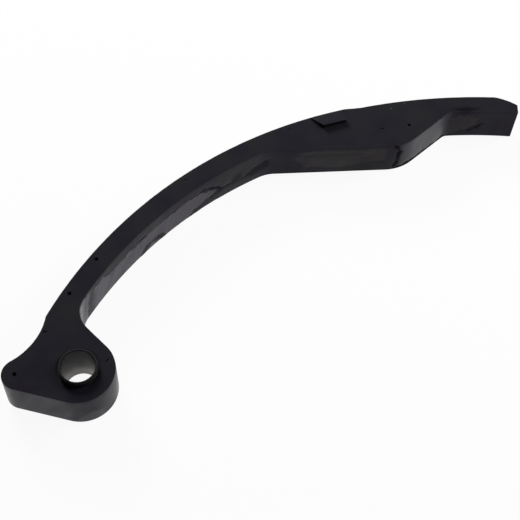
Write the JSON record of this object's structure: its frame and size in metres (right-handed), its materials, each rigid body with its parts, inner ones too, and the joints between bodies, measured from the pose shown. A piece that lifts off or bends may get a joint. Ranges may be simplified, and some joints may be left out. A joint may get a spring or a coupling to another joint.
{
  "type": "timing chain guide",
  "caption": "Curved moulded arm that guides a timing chain along its convex face, with a bushed pivot eye at one end and a wedge pad for the tensioner under the other.",
  "frame": {"origin": "pivot axis, at the lower side face on which the guide lies", "axes": "+Z along the pivot bore and up from the lower side face, +X from the pivot towards the tip, +Y towards the convex chain face"},
  "size_m": [0.1924, 0.0518, 0.0145],
  "materials": {
    "moulded_rubber": "moulded black rubber, matte on the side faces, rubbed lighter along the inner faces",
    "bush_steel": "turned steel, darkened outside and rubbed grey in the bore"
  },
  "bodies": {
    "root": {"guide_body": "moulded_rubber", "pivot_bush": "bush_steel"}
  },
  "joints": []
}
